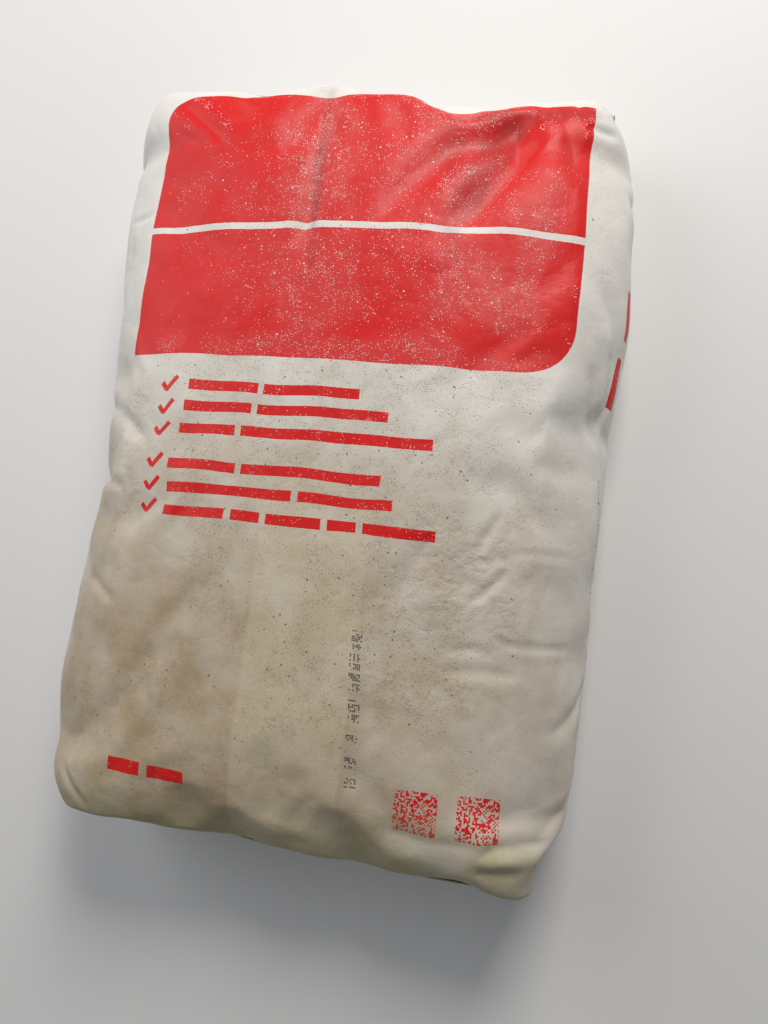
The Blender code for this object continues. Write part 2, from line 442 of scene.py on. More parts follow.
# Folds pressed into the filled sack: its side, depth, half width, and the line it follows
FOLDS = (
    (FRONT, 0.0036, 0.0048, ((-0.022, 0.256), (-0.026, 0.205), (-0.031, 0.155), (-0.034, 0.128))),
    (FRONT, 0.0034, 0.0110, ((0.100, 0.256), (0.108, 0.228), (0.110, 0.206), (0.090, 0.172), (0.076, 0.148))),
    (FRONT, 0.0012, 0.0050, ((0.130, 0.256), (0.142, 0.232), (0.150, 0.200))),
    (FRONT, 0.0010, 0.0016, ((0.105, -0.0575), (0.119, -0.0600), (0.135, -0.0635))),
    (FRONT, 0.0009, 0.0015, ((0.100, -0.0690), (0.120, -0.0655), (0.136, -0.0640))),
    (FRONT, 0.0013, 0.0022, ((0.112, -0.0580), (0.118, -0.0450), (0.1245, -0.0340))),
    (FRONT, 0.0014, 0.0024, ((0.134, -0.0660), (0.124, -0.0790), (0.110, -0.0930))),
    (FRONT, 0.0009, 0.0018, ((0.130, -0.0595), (0.150, -0.0570), (0.172, -0.0565))),
    (FRONT, 0.0014, 0.0060, ((0.082, -0.050), (0.072, -0.076), (0.060, -0.104))),
    (FRONT, 0.0009, 0.0022, ((0.098, -0.1245), (0.115, -0.1205), (0.130, -0.1235))),
    (FRONT, 0.0011, 0.0030, ((0.092, -0.1375), (0.121, -0.1345), (0.148, -0.1335))),
    (FRONT, 0.0010, 0.0019, ((0.124, -0.1070), (0.134, -0.1160), (0.156, -0.1155), (0.178, -0.1145))),
    (FRONT, 0.0012, 0.0040, ((0.060, -0.2370), (0.100, -0.2405), (0.140, -0.2385))),
    (FRONT, 0.0034, 0.0034, ((0.128, -0.2470), (0.142, -0.2375), (0.160, -0.2345), (0.178, -0.2350))),
    (FRONT, 0.0022, 0.0035, ((0.128, -0.2560), (0.142, -0.2520), (0.160, -0.2510))),
    (FRONT, 0.0016, 0.0035, ((-0.190, 0.036), (-0.172, 0.022), (-0.152, 0.010), (-0.126, -0.010))),
    (FRONT, 0.0014, 0.0028, ((-0.180, -0.030), (-0.160, -0.036), (-0.142, -0.041))),
    (FRONT, 0.0013, 0.0026, ((-0.176, -0.100), (-0.148, -0.1145), (-0.134, -0.1225))),
    (FRONT, 0.0016, 0.0020, ((-0.166, -0.232), (-0.150, -0.2500), (-0.136, -0.2625))),
    (FRONT, 0.0011, 0.0018, ((-0.186, 0.168), (-0.170, 0.1655), (-0.156, 0.1690))),
    (FRONT, 0.0010, 0.0020, ((-0.181, 0.158), (-0.178, 0.140), (-0.180, 0.122))),
    (FRONT, 0.0020, 0.0026, ((0.152, 0.2410), (0.163, 0.2392), (0.176, 0.2397))),
    (FRONT, 0.0012, 0.0040, ((-0.150, 0.258), (-0.120, 0.232), (-0.094, 0.214))),
    (RIGHT, 0.0022, 0.0040, ((0.142, 0.100), (0.094, 0.076), (0.052, 0.062), (0.020, 0.070))),
    (RIGHT, 0.0018, 0.0035, ((0.075, 0.090), (0.048, 0.080), (0.018, 0.060))),
    (RIGHT, 0.0020, 0.0035, ((-0.135, 0.040), (-0.155, 0.068), (-0.172, 0.092))),
    (RIGHT, 0.0024, 0.0040, ((-0.196, 0.030), (-0.216, 0.066), (-0.236, 0.094))),
    (RIGHT, 0.0018, 0.0040, ((-0.060, 0.026), (-0.090, 0.050), (-0.120, 0.046))),
    (RIGHT, 0.0020, 0.0050, ((0.205, 0.016), (0.190, 0.044), (0.205, 0.074))),
    (LEFT, 0.0026, 0.0050, ((0.040, 0.020), (0.022, 0.052), (0.018, 0.092))),
    (LEFT, 0.0022, 0.0045, ((-0.020, 0.030), (-0.032, 0.062), (-0.030, 0.094))),
    (LEFT, 0.0020, 0.0040, ((0.170, 0.040), (0.120, 0.054), (0.070, 0.050))),
    (LEFT, 0.0022, 0.0045, ((-0.110, 0.022), (-0.150, 0.046), (-0.190, 0.050))),
    (LEFT, 0.0020, 0.0040, ((-0.215, 0.020), (-0.222, 0.052), (-0.236, 0.084))),
    (LEFT, 0.0018, 0.0040, ((0.222, 0.024), (0.214, 0.056), (0.226, 0.086))),
)

# Hollows and swellings of the front: middle, reach across and along, height
SWELLINGS = (
    ((0.100, 0.228), (0.034, 0.022), -0.0060),
    ((0.045, 0.262), (0.050, 0.016), 0.0035),
    ((-0.120, 0.236), (0.034, 0.028), 0.0020),
    ((0.150, -0.245), (0.016, 0.009), 0.0030),
    ((-0.020, 0.230), (0.016, 0.050), -0.0012),
    ((0.100, -0.100), (0.050, 0.030), -0.0012),
    ((-0.010, -0.245), (0.070, 0.014), -0.0015),
)


# How far the paper must turn towards a side before it counts as part of it
FACING_FROM = 0.15
FACING_SPREAD = 0.35


def facing(normals, outward):
    return smooth((normals @ np.array(outward) - FACING_FROM) / FACING_SPREAD)


def press_folds(item):
    """Presses the folds and swellings of the photo into the paper."""
    mesh = item.data
    places, normals = read_places(mesh), read_normals(mesh)
    height = np.zeros(len(places))
    for (axes, outward), depth, width, points in FOLDS:
        seen = facing(normals, outward)
        flat = places[:, axes]
        distance, share = line_distance(flat, points)
        height += seen * pressed_line(distance, share, depth, width)
    front = facing(normals, FRONT[1])
    for middle, reach, lift in SWELLINGS:
        away = (((places[:, :2] - np.array(middle)) / np.array(reach)) ** 2).sum(axis=1)
        places[:, 2] += front * lift * np.exp(-away)
    places += normals * height[:, None]
    places[:, 2] = np.maximum(places[:, 2], 0)
    write_places(mesh, places)


# The pinched edge round each end with its ripple, the bow of the valve end, and how much of both also
# lifts the front
LIP_WIDTH = 0.0045
LIP_REACH = 0.0028
LIP_EVEN = 0.8
LIP_RIPPLE = 0.25
LIP_WAVES = (75, 31)
LIP_FLOOR_GAP = 0.012
LIP_FADE_HEIGHT = 0.020
END_BOW = 0.0040
END_BOW_LENGTH = 0.060
END_BOW_MIDDLE = -0.05
END_BOW_WIDTH = 0.12
END_BOW_FADE_HEIGHT = 0.07
FRONT_RISE = 0.5

# The folded flaps under each cover paper: their edges' heights, reach and slant, and how they press through
FLAP_LOW, FLAP_HIGH = 0.010, 0.088
FLAP_REACH = 0.150
FLAP_OVERLAP = 0.006
FLAP_DEPTH = 0.0011
FLAP_WIDTH = 0.0022


def fold_ends(item):
    """Pinches the folded edge round each end, and presses the folded flaps of the block ends."""
    mesh = item.data
    places, normals = read_places(mesh), read_normals(mesh)
    for sign, (axes, outward) in ((1, VALVE_END), (-1, BASE_END)):
        rim = HALF_LENGTH - sign * places[:, 1]
        first_wave = np.sin(places[:, 0] * LIP_WAVES[0] + sign)
        ripple = LIP_EVEN + LIP_RIPPLE * first_wave * np.sin(places[:, 0] * LIP_WAVES[1])
        lip = hump(np.maximum(rim, 0), LIP_WIDTH)
        lip = lip * smooth((places[:, 2] - LIP_FLOOR_GAP) / LIP_FADE_HEIGHT)
        places[:, 1] += sign * LIP_REACH * ripple * lip
        if sign > 0:
            bow = hump(places[:, 0] - END_BOW_MIDDLE, END_BOW_WIDTH)
            bow = bow * smooth(places[:, 2] / END_BOW_FADE_HEIGHT)
            near_end = smooth(1 - rim / END_BOW_LENGTH)
            places[:, 1] += END_BOW * bow * near_end
            places[:, 2] += FRONT_RISE * END_BOW * bow * near_end
        places[:, 2] += FRONT_RISE * LIP_REACH * ripple * lip * facing(normals, FRONT[1])
        seen = facing(normals, outward)
        flat = places[:, axes]
        for points in flap_edges():
            distance, _ = line_distance(flat, points)
            places[:, 1] -= sign * seen * FLAP_DEPTH * hump(distance, FLAP_WIDTH)
    write_places(mesh, places)


def flap_edges():
    """Edges of the folded flaps under the cover paper, across each end."""
    middle = (FLAP_LOW + FLAP_HIGH) / 2
    yield ((-FLAP_REACH, middle - FLAP_OVERLAP), (FLAP_REACH, middle - FLAP_OVERLAP))
    for side in (-1, 1):
        point = side * (FLAP_REACH - FLAP_HIGH + middle)
        yield ((side * FLAP_REACH, FLAP_HIGH), (point, middle), (side * FLAP_REACH, FLAP_LOW))


RIDGE_STEPS = 14
RIDGE_HEIGHT = 0.0006
FULLY_FACING = 0.9


def mark_ridges(item):
    """Stores on each point how far it stands out (up to 1) or lies in (down to -1) from the paper around."""
    mesh = item.data
    places, normals, ends = read_places(mesh), read_normals(mesh), read_edges(mesh)
    around = averaged(places, ends, RIDGE_STEPS)
    stand = ((places - around) * normals).sum(axis=1)
    flat_front = np.median(stand[facing(normals, FRONT[1]) > FULLY_FACING])
    store_values(mesh, "ridge", np.clip((stand - flat_front) / RIDGE_HEIGHT, -1, 1))


# Soiled areas of the front, two of them partly painted shade: how soft their edges are, how far these wander,
# and each oval's strength, middle, reach and turn
SOILED_AREAS = {
    "dust": (0.9, 0.60, (
        (0.75, (-0.030, 0.200), (0.026, 0.080), 0.12), (0.60, (-0.016, 0.120), (0.034, 0.055), 0.2),
        (0.85, (0.098, 0.112), (0.036, 0.026), -0.6), (0.45, (0.045, 0.215), (0.060, 0.045), 0.0),
        (0.55, (0.010, 0.066), (0.120, 0.012), 0.0), (0.50, (0.092, 0.168), (0.045, 0.014), 0.2),
        (0.30, (0.010, 0.160), (0.110, 0.090), 0.0), (0.65, (0.125, 0.140), (0.012, 0.050), -0.3),
    )),
    "grit": (0.9, 0.60, (
        (0.75, (0.010, -0.005), (0.130, 0.062), 0.0), (1.0, (-0.070, -0.086), (0.020, 0.036), 0.2),
        (0.9, (0.034, -0.085), (0.034, 0.034), 0.1), (1.0, (0.004, -0.150), (0.030, 0.040), 0.4),
        (0.9, (0.074, -0.135), (0.040, 0.045), 0.4), (0.5, (0.030, -0.120), (0.090, 0.090), 0.0),
        (0.22, (0.000, 0.160), (0.110, 0.110), 0.0), (0.8, (0.010, 0.048), (0.135, 0.026), 0.0),
        (0.18, (0.172, 0.130), (0.014, 0.110), 0.0), (0.35, (-0.080, -0.200), (0.080, 0.060), 0.0),
    )),
    "stain": (1.2, 0.35, (
        (0.85, (0.014, -0.135), (0.012, 0.040), 0.15), (0.5, (0.040, -0.185), (0.026, 0.030), 0.3),
        (0.45, (-0.100, -0.150), (0.050, 0.070), 0.0), (0.35, (0.060, -0.060), (0.080, 0.060), 0.0),
        (0.45, (-0.040, -0.225), (0.120, 0.030), 0.0), (0.35, (-0.165, -0.140), (0.022, 0.110), 0.0),
    )),
    # Beige cement dust over the lower half and the left edge, which also stands in for painted shadow there
    "dust_and_shade": (1.6, 0.18, (
        (1.0, (-0.060, -0.215), (0.240, 0.220), 0.25), (0.5, (0.120, -0.240), (0.120, 0.120), 0.0),
        (0.8, (-0.180, -0.070), (0.030, 0.110), 0.0),
    )),
    "rumple": (0.9, 0.45, (
        (1.0, (0.104, -0.072), (0.040, 0.034), -0.5), (0.8, (0.082, -0.104), (0.034, 0.022), 0.4),
        (0.6, (0.086, -0.150), (0.050, 0.012), 0.0), (0.4, (-0.150, 0.000), (0.022, 0.060), 0.0),
    )),
    # Dark smudges along the fold and in the hollow near the valve end: partly grime, partly painted shade in
    # the folds
    "smudge_and_fold_shade": (1.0, 0.40, (
        (0.8, (0.098, 0.226), (0.014, 0.026), -0.5), (0.7, (0.112, 0.246), (0.050, 0.007), 0.10),
        (0.6, (0.082, 0.188), (0.010, 0.034), -0.25), (0.8, (-0.027, 0.196), (0.0035, 0.062), 0.07),
        (0.4, (0.066, 0.206), (0.012, 0.024), 0.3),
    )),
    "grime": (1.0, 0.40, (
        (0.9, (0.030, -0.270), (0.180, 0.022), 0.0), (0.7, (-0.090, -0.270), (0.110, 0.022), 0.0),
        (0.8, (0.150, -0.254), (0.040, 0.018), 0.0), (0.4, (0.080, -0.246), (0.060, 0.018), 0.0),
    )),
}


# Two sizes of wander of the soiled areas' edges: waves in a metre, shift and share
SOIL_WANDER = ((38, 5.0, 1.0), (95, 9.0, 0.6))


def paper_places(mesh):
    """Each point's place on the flat paper, from the corners that meet there."""
    corners = read_values(mesh.loops, "vertex_index", 1, np.int32)[:, 0]
    places = np.empty((len(mesh.vertices), 2))
    places[corners] = read_values(mesh.uv_layers["paper"].data, "uv", 2) - 0.5
    return places


def paint_soil(item):
    """Stores how dusty, gritty, stained and grimy each point of the paper is, and how much painted shade it
    takes, from 0 to 1.
    """
    mesh = item.data
    flat = paper_places(mesh)
    solid = np.concatenate([flat, np.zeros((len(flat), 1))], axis=1)
    wander = sum(share * waves(solid, count, shift)[:, 0] for count, shift, share in SOIL_WANDER)
    for name, (softness, amount, ovals) in SOILED_AREAS.items():
        total = np.zeros(len(flat))
        for strength, middle, reach, turn in ovals:
            away = flat - np.array(middle)
            along = away[:, 0] * math.cos(turn) + away[:, 1] * math.sin(turn)
            across = away[:, 1] * math.cos(turn) - away[:, 0] * math.sin(turn)
            distance = np.hypot(along / reach[0], across / reach[1]) + amount * wander
            total = np.maximum(total, strength * smooth((1.0 + softness / 2 - distance) / softness))
        store_values(mesh, name, total)


# Cover papers glued over the folds of both ends
COVER_MARGIN = 0.009
COVER_TOP_MARGIN = 0.015
COVER_LIFT = 0.0007
COVER_THICKNESS = 0.00035
COVER_COLUMNS = 110
COVER_ROWS = 32
COVER_CORNER = 0.010
COVER_TOP_SPAN = 4
CUT_WANDER = 0.0008
CUT_WAVES = (260, 140)
CUT_POWER = 8
PEEL_LIFT = 0.0009
PEEL_POWERS = (24, 10)
BRIDGE_ROUNDS = 24
BRIDGE_KEPT = 0.3

# Feeling for an end: how far its surface may lie back and turn away, and the steps of the search
FEEL_START = 0.06
FEEL_REACH = 0.10
END_TOP_DEPTH = 0.006
END_TOP_TURN = 0.6
END_TOP_ABOVE = 0.010
END_TOP_STEP = 0.0005
END_BOX_TURN = 0.75
END_BOX_STEP = 0.001
END_BOX_FLOOR = 0.001
END_BOX_LIMIT = 0.3
END_BOX_MIDDLE = 0.42

# The flattened filling sleeve between the folds and the cover paper
SLEEVE_LOW, SLEEVE_HIGH = (Vector(corner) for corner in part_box("valve_sleeve"))
SLEEVE_STEPS = 40
SLEEVE_ROUND_STEPS = 64
SLEEVE_WALL = 0.0004
SLEEVE_FLAT = 0.0010
SLEEVE_MOUTH = 0.0065
SLEEVE_MOUTH_LENGTH = 0.026
SLEEVE_BOTTOM = 0.016
SLEEVE_TOP = 0.060
SLEEVE_TURN = 0.150
SLEEVE_DROOP = 0.006
SLEEVE_DROOP_LENGTH = 0.030
SLEEVE_SWAY = 0.0008

# How the cover paper rises over the sleeve
RISE_MARGIN = 0.004
RISE_EDGE = 0.006
RISE_MOUTH_FROM = 0.140
RISE_MOUTH_LENGTH = 0.020
RISE_MOUTH = 0.003


def paper_tree(item):
    """The sack's surface, ready to be felt along a ray."""
    return BVHTree.FromPolygons(
        [tuple(place) for place in read_places(item.data)],
        [tuple(polygon.vertices) for polygon in item.data.polygons],
    )


def end_surface(tree, sign, x, z):
    """Where an end's surface lies, felt from outside the sack."""
    start = Vector((x, sign * (HALF_LENGTH + FEEL_START), z))
    hit, normal, _, _ = tree.ray_cast(start, Vector((0, -sign, 0)), FEEL_REACH)
    return (hit.y, normal) if hit else (None, None)


def cover_outline(u, v, half_width, half_height):
    """A place in a rectangle with rounded corners, from shares u and v between -1 and 1."""
    x, z = u * half_width, v * half_height
    inset_x, inset_z = half_width - COVER_CORNER, half_height - COVER_CORNER
    over_x, over_z = max(abs(x) - inset_x, 0), max(abs(z) - inset_z, 0)
    length = math.hypot(over_x, over_z)
    largest = max(over_x, over_z)
    if length > 0 and largest > 0:
        pull = largest / length
        x = math.copysign(min(abs(x), inset_x) + over_x * pull, x) if over_x else x
        z = math.copysign(min(abs(z), inset_z) + over_z * pull, z) if over_z else z
    return x, z


def add_sheet_piece(name, verts, quads, thickness, places=None):
    """An open sheet of paper, given its thickness outwards and inwards."""
    item = add_mesh(name, verts, quads, places)
    wall = item.modifiers.new("thickness", "SOLIDIFY")
    wall.thickness = thickness
    wall.offset = 0.0
    return item


def sleeve_lift(x, z):
    """How far the cover paper rises over the filling sleeve at one corner of the valve end."""
    along = float(smooth((x - SLEEVE_LOW.x + RISE_EDGE) / (2 * RISE_EDGE)))
    low, high = SLEEVE_BOTTOM - RISE_MARGIN, SLEEVE_TOP + RISE_MARGIN
    up = float(smooth((z - low) / RISE_EDGE) * smooth((high - z) / RISE_EDGE))
    mouth = float(smooth((x - RISE_MOUTH_FROM) / RISE_MOUTH_LENGTH))
    return (SLEEVE_FLAT + 3 * SLEEVE_WALL + RISE_MOUTH * mouth) * along * up


def end_top(tree, sign, x):
    """Height at which an end's face turns over into the front, at one place across it."""
    z = CROWN + END_TOP_ABOVE
    while z > CROWN / 2:
        y, normal = end_surface(tree, sign, x, z)
        if y is not None and sign * y > HALF_LENGTH - END_TOP_DEPTH and sign * normal.y > END_TOP_TURN:
            break
        z -= END_TOP_STEP
    return z


def cover_paper(name, tree, sign):
    """A cover paper that follows one end, a little inside the end's outline."""
    low, high = end_box(tree, sign)
    left, right = low[0] + COVER_MARGIN, high[0] - COVER_MARGIN
    bottom = low[1] + COVER_MARGIN
    columns = np.linspace(left, right, COVER_COLUMNS + 1)
    tops = np.array([end_top(tree, sign, x) for x in columns]) - COVER_TOP_MARGIN
    tops = lowest_nearby(tops, COVER_TOP_SPAN)
    half_width, half_height = (right - left) / 2, (tops.mean() - bottom) / 2
    verts, places = [], []
    for row in range(COVER_ROWS + 1):
        for column in range(COVER_COLUMNS + 1):
            u, v = 2 * column / COVER_COLUMNS - 1, 2 * row / COVER_ROWS - 1
            x, z = cover_outline(u, v, half_width, half_height)
            x += (left + right) / 2
            top = np.interp(x, columns, tops)
            z = bottom + (z / half_height + 1) / 2 * (top - bottom)
            x += CUT_WANDER * math.sin(z * CUT_WAVES[0] + sign) * abs(u) ** CUT_POWER
            z += CUT_WANDER * math.sin(x * CUT_WAVES[1] + 2 * sign) * abs(v) ** CUT_POWER
            y, _ = end_surface(tree, sign, x, z)
            verts.append((x, y, z))
            places.append((x, z))
    verts = np.array(verts)
    grid = verts[:, 1].reshape(COVER_ROWS + 1, -1)
    grid = sign * bridged(sign * grid)
    peel = cover_peel(sign)
    lift = COVER_LIFT + peel
    if sign > 0:
        lift = lift + np.array([sleeve_lift(x, z) for x, _, z in verts]).reshape(grid.shape)
    verts[:, 1] = (grid + sign * lift).ravel()
    quads = grid_quads(COVER_COLUMNS, COVER_ROWS, sign < 0)
    corner_places = np.array([[places[index] for index in quad] for quad in quads])
    return add_sheet_piece(name, verts, quads, COVER_THICKNESS, corner_places)


def lowest_nearby(values, span):
    """A smooth line that stays at or under the values around each place."""
    padded = np.pad(values, span, mode="edge")
    lowest = np.array([padded[index:index + 2 * span + 1].min() for index in range(len(values))])
    padded = np.pad(lowest, span, mode="edge")
    return np.array([padded[index:index + 2 * span + 1].mean() for index in range(len(values))])


def bridged(grid):
    """A sheet that lies on the high places and spans the small hollows between them."""
    sheet = grid.copy()
    for _ in range(BRIDGE_ROUNDS):
        padded = np.pad(sheet, 1, mode="edge")
        around = (padded[:-2, 1:-1] + padded[2:, 1:-1] + padded[1:-1, :-2] + padded[1:-1, 2:]) / 4
        sheet = np.maximum(grid, BRIDGE_KEPT * sheet + (1 - BRIDGE_KEPT) * around)
    return sheet


def cover_peel(sign):
    """Places along the cover paper's edge where the glue has let go a little."""
    u = np.linspace(-1, 1, COVER_COLUMNS + 1)[None, :]
    v = np.linspace(-1, 1, COVER_ROWS + 1)[:, None]
    edge = np.maximum(np.abs(u) ** PEEL_POWERS[0], np.abs(v) ** PEEL_POWERS[1])
    wander = 0.5 + 0.5 * np.sin(7 * u + 3 * v + sign) * np.sin(3.1 * u - 2 * v + 2 * sign)
    return PEEL_LIFT * edge * wander ** 3


def grid_quads(columns, rows, flip):
    quads = []
    for row in range(rows):
        for column in range(columns):
            first = row * (columns + 1) + column
            quad = (first, first + 1, first + columns + 2, first + columns + 1)
            quads.append(quad if flip else tuple(reversed(quad)))
    return quads


def end_box(tree, sign):
    """Lowest and highest x and z of an end face, felt in steps from its middle."""
    middle = CROWN * END_BOX_MIDDLE
    reach = []
    for direction_x, direction_z in ((-1, 0), (1, 0), (0, -1), (0, 1)):
        distance = 0.0
        while distance < END_BOX_LIMIT:
            x, z = direction_x * distance, middle + direction_z * distance
            y, normal = end_surface(tree, sign, x, z)
            if y is None or z < END_BOX_FLOOR or sign * normal.y < END_BOX_TURN:
                break
            distance += END_BOX_STEP
        reach.append(distance - END_BOX_STEP)
    return (-reach[0], middle - reach[2]), (reach[1], middle + reach[3])


def filling_sleeve(tree):
    """A flattened paper tube whose mouth stands a little open at the corner of the valve end."""
    middle = (SLEEVE_BOTTOM + SLEEVE_TOP) / 2
    half = (SLEEVE_TOP - SLEEVE_BOTTOM) / 2
    verts = []
    for x in np.linspace(SLEEVE_LOW.x, SLEEVE_HIGH.x, SLEEVE_STEPS + 1):
        open_share = float(smooth((x - SLEEVE_HIGH.x + SLEEVE_MOUTH_LENGTH) / SLEEVE_MOUTH_LENGTH))
        gap = SLEEVE_FLAT + (SLEEVE_MOUTH - SLEEVE_FLAT) * open_share
        droop = SLEEVE_DROOP * float(smooth((x - SLEEVE_TURN) / SLEEVE_DROOP_LENGTH))
        for step in range(SLEEVE_ROUND_STEPS):
            turn = 2 * math.pi * step / SLEEVE_ROUND_STEPS
            z = middle + half * math.cos(turn)
            lie, _ = end_surface(tree, 1, min(x, SLEEVE_TURN), z)
            out = 0.5 + 0.5 * math.sin(turn)
            sway = SLEEVE_SWAY * open_share * math.sin(3 * turn)
            verts.append((x, lie - droop + SLEEVE_WALL + gap * out + sway, z))
    quads = []
    for ring in range(SLEEVE_STEPS):
        for step in range(SLEEVE_ROUND_STEPS):
            after = (step + 1) % SLEEVE_ROUND_STEPS
            first, second = ring * SLEEVE_ROUND_STEPS, (ring + 1) * SLEEVE_ROUND_STEPS
            quads.append((first + step, second + step, second + after, first + after))
    quads.append(tuple(range(SLEEVE_ROUND_STEPS)))
    corner_places = np.array([(verts[index][0], verts[index][2]) for quad in quads for index in quad])
    return add_sheet_piece("valve_sleeve_paper", np.array(verts), quads, SLEEVE_WALL, corner_places)


# Colours, as light values
WHITE_PAPER = (0.790, 0.765, 0.720, 1)
AGED_PAPER = (0.700, 0.655, 0.575, 1)
RED_INK = (0.700, 0.016, 0.014, 1)
DULL_RED = (0.620, 0.013, 0.012, 1)
BLACK_INK = (0.030, 0.028, 0.026, 1)
CEMENT_DUST = (0.560, 0.545, 0.510, 1)
PALE_DUST = (0.760, 0.735, 0.690, 1)
CEMENT_GRIT = (0.110, 0.088, 0.066, 1)
DAMP_BROWN = (0.330, 0.235, 0.130, 1)
# Beige dust film, partly painted shadow over the lower half and the left edge
BEIGE_DUST_AND_SHADE = (0.430, 0.318, 0.182, 1)
STRIP_CREAM = (0.700, 0.620, 0.440, 1)
# Dark smudge colour: partly grime, partly painted shade in the folds
SMUDGE_AND_FOLD_SHADE = (0.090, 0.022, 0.018, 1)
GRIME_GREEN = (0.330, 0.310, 0.150, 1)
END_PAPER = (0.740, 0.710, 0.650, 1)
SLEEVE_PAPER = (0.700, 0.640, 0.540, 1)
STUDIO_FLOOR = (0.780, 0.775, 0.765, 1)

# How strongly each kind of soil, painted shade and ink covers the paper
DUST_AND_SHADE_COVER = 0.95
STAIN_COVER = 0.50
STRIP_COVER = 0.30
BLACK_COVER = 0.85
DUST_FILM_COVER = 0.09
SMUDGE_AND_FOLD_SHADE_COVER = 0.42
DUST_COVER = 0.92
GRIT_COVER = 0.80
GRIME_COVER = 0.75
END_GRIT_COVER = 0.70

# Scatters of specks: how far aside each starts, its cell, the size of a speck, and the share of cells filled
RUBBED_SPECKS = (0.0, 0.0013, 0.00036, 0.42)
DUST_SPECKS = ((1.0, 0.0010, 0.00024, 0.60), (5.0, 0.0042, 0.00055, 0.24))
GRIT_SPECKS = ((3.0, 0.0010, 0.00026, 0.72), (7.0, 0.0050, 0.00065, 0.24))
END_SPECKS = (2.0, 0.0016, 0.00040, 0.70)

# Fine relief of the sack's paper and of its rumpled patches: height, and size of a crease
GRAIN_HEIGHT = 0.00010
CRINKLE_HEIGHT = 0.0006
CRINKLE_SIZE = 0.021
RUMPLE_HEIGHT = 0.0011
RUMPLE_SIZE = 0.011
END_GRAIN_HEIGHT = 0.00012
END_CRINKLE_HEIGHT = 0.0009
PAPER_SHINE = 0.26

# Kinds and first values of the node groups' inputs
PLACE = ("Vector", (0, 0, 0))
HALF_SIZE = ("Vector", (0.01, 0.01, 0))


def put(tree, value, socket):
    """Sets a socket to a value, or links another node's output to it."""
    if isinstance(value, bpy.types.NodeSocket):
        tree.links.new(value, socket)
    else:
        socket.default_value = value


def add_node(tree, kind, inputs=None, **settings):
    """A node with its settings; each input takes a value or another node's output."""
    item = tree.nodes.new(kind)
    for name, value in settings.items():
        setattr(item, name, value)
    for socket, value in (inputs or {}).items():
        put(tree, value, item.inputs[socket])
    return item


def calc(tree, operation, *values):
    return add_node(tree, "ShaderNodeMath", dict(enumerate(values)), operation=operation).outputs[0]


def all_of(tree, operation, values):
    total, *others = values
    for value in others:
        total = calc(tree, operation, total, value)
    return total


def times(tree, *values):
    return all_of(tree, "MULTIPLY", values)


def rest_of(tree, share):
    """What a share leaves of 1."""
    return calc(tree, "SUBTRACT", 1.0, share)


def vector_calc(tree, operation, *values):
    item = add_node(tree, "ShaderNodeVectorMath", dict(enumerate(values)), operation=operation)
    return item.outputs["Value" if operation == "LENGTH" else "Vector"]


def scaled_by(tree, vector, amount):
    inputs = {0: vector, "Scale": amount}
    return add_node(tree, "ShaderNodeVectorMath", inputs, operation="SCALE").outputs["Vector"]


def split(tree, vector):
    return add_node(tree, "ShaderNodeSeparateXYZ", {"Vector": vector}).outputs


def joined(tree, x, y, z=0.0):
    return add_node(tree, "ShaderNodeCombineXYZ", {"X": x, "Y": y, "Z": z}).outputs[0]


def ramp(tree, value, low, high, start=0.0, end=1.0):
    """Takes a value from one range smoothly to another."""
    inputs = {"Value": value, "From Min": low, "From Max": high, "To Min": start, "To Max": end}
    return add_node(tree, "ShaderNodeMapRange", inputs, interpolation_type="SMOOTHSTEP").outputs["Result"]


def blend(tree, amount, first, second):
    colours = {"Factor": amount, 6: first, 7: second}
    return add_node(tree, "ShaderNodeMix", colours, data_type="RGBA").outputs[2]


def coat(tree, base, colour, *shares):
    """Lays a colour over another, as strongly as the product of the shares."""
    return blend(tree, times(tree, *shares), base, colour)


def noise_of(tree, place, scale, detail=2.0, roughness=0.5):
    inputs = {"Vector": place, "Scale": scale, "Detail": detail, "Roughness": roughness}
    return add_node(tree, "ShaderNodeTexNoise", inputs, noise_dimensions="2D").outputs["Fac"]


def drift_of(tree, place, scale, detail):
    """A smooth random vector at each place, from -0.5 to 0.5 each way."""
    inputs = {"Vector": place, "Scale": scale, "Detail": detail}
    colour = add_node(tree, "ShaderNodeTexNoise", inputs, noise_dimensions="2D").outputs["Color"]
    return vector_calc(tree, "SUBTRACT", colour, (0.5, 0.5, 0.5))


def chance_of(tree, number):
    """A random value from 0 to 1 for each cell's number."""
    item = add_node(tree, "ShaderNodeTexWhiteNoise", {"Vector": number}, noise_dimensions="2D")
    return item.outputs["Value"]


def cells_of(tree, place, feature="F1"):
    inputs = {"Vector": place, "Scale": 1.0}
    return add_node(tree, "ShaderNodeTexVoronoi", inputs, feature=feature, voronoi_dimensions="2D").outputs


def new_group(name, inputs, outputs):
    """A node group with named sockets: inputs map to a kind and a value, outputs are values."""
    tree = bpy.data.node_groups.new(name, "ShaderNodeTree")
    for label, (kind, value) in inputs.items():
        socket = tree.interface.new_socket(label, in_out="INPUT", socket_type="NodeSocket" + kind)
        socket.default_value = value
    for label in outputs:
        tree.interface.new_socket(label, in_out="OUTPUT", socket_type="NodeSocketFloat")
    given = tree.nodes.new("NodeGroupInput").outputs
    result = tree.nodes.new("NodeGroupOutput").inputs
    return tree, given, result


def use_group(tree, group, inputs):
    return add_node(tree, "ShaderNodeGroup", inputs, node_tree=group).outputs


